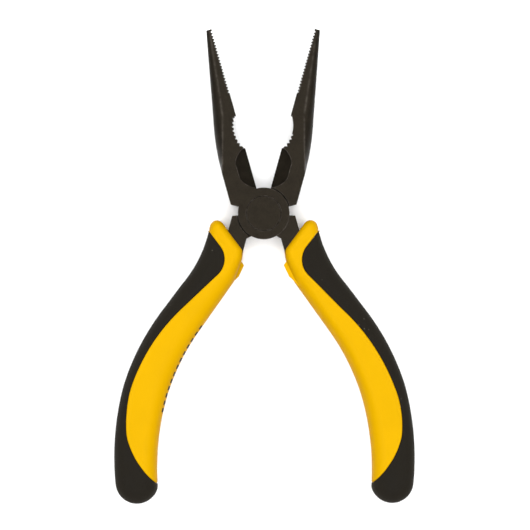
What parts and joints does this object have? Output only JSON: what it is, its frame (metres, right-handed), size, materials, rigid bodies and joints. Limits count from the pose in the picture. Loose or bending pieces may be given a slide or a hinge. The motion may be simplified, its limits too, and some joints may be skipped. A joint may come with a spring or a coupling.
{
  "type": "needle nose pliers",
  "caption": "Lap-joint needle nose pliers of blackened steel with toothed long jaws, pipe grip, side cutter and curved two-colour grips, lying half open.",
  "frame": {"origin": "on the pivot axis, in the plane of the joint's underside", "axes": "+Z along the pivot axis, up from the surface the pliers lie on; +Y towards the jaw tips, halfway between the jaws; +X across, towards the handle of the lever whose joint half is on top"},
  "size_m": [0.1194, 0.1896, 0.015],
  "materials": {
    "blackened_steel": "black oxide, satin, faintly mottled, edges rubbed slightly brighter",
    "yellow_plastic": "hard moulded plastic, satin",
    "black_soft_plastic": "soft moulded plastic, matte with a fine grain"
  },
  "bodies": {
    "back_half": {"back_lever": "blackened_steel", "pivot_rivet": "blackened_steel", "left_grip_sleeve": "yellow_plastic", "left_grip_overmould": "black_soft_plastic"},
    "front_half": {"front_lever": "blackened_steel", "right_grip_sleeve": "yellow_plastic", "right_grip_overmould": "black_soft_plastic"}
  },
  "joints": [
    {"name": "jaw_pivot", "type": "hinge", "parent": "back_half", "child": "front_half", "pos_m": [0, 0, 0.006], "axis": [0, 0, 1], "range_deg": [-31.1, 19.4]}
  ]
}
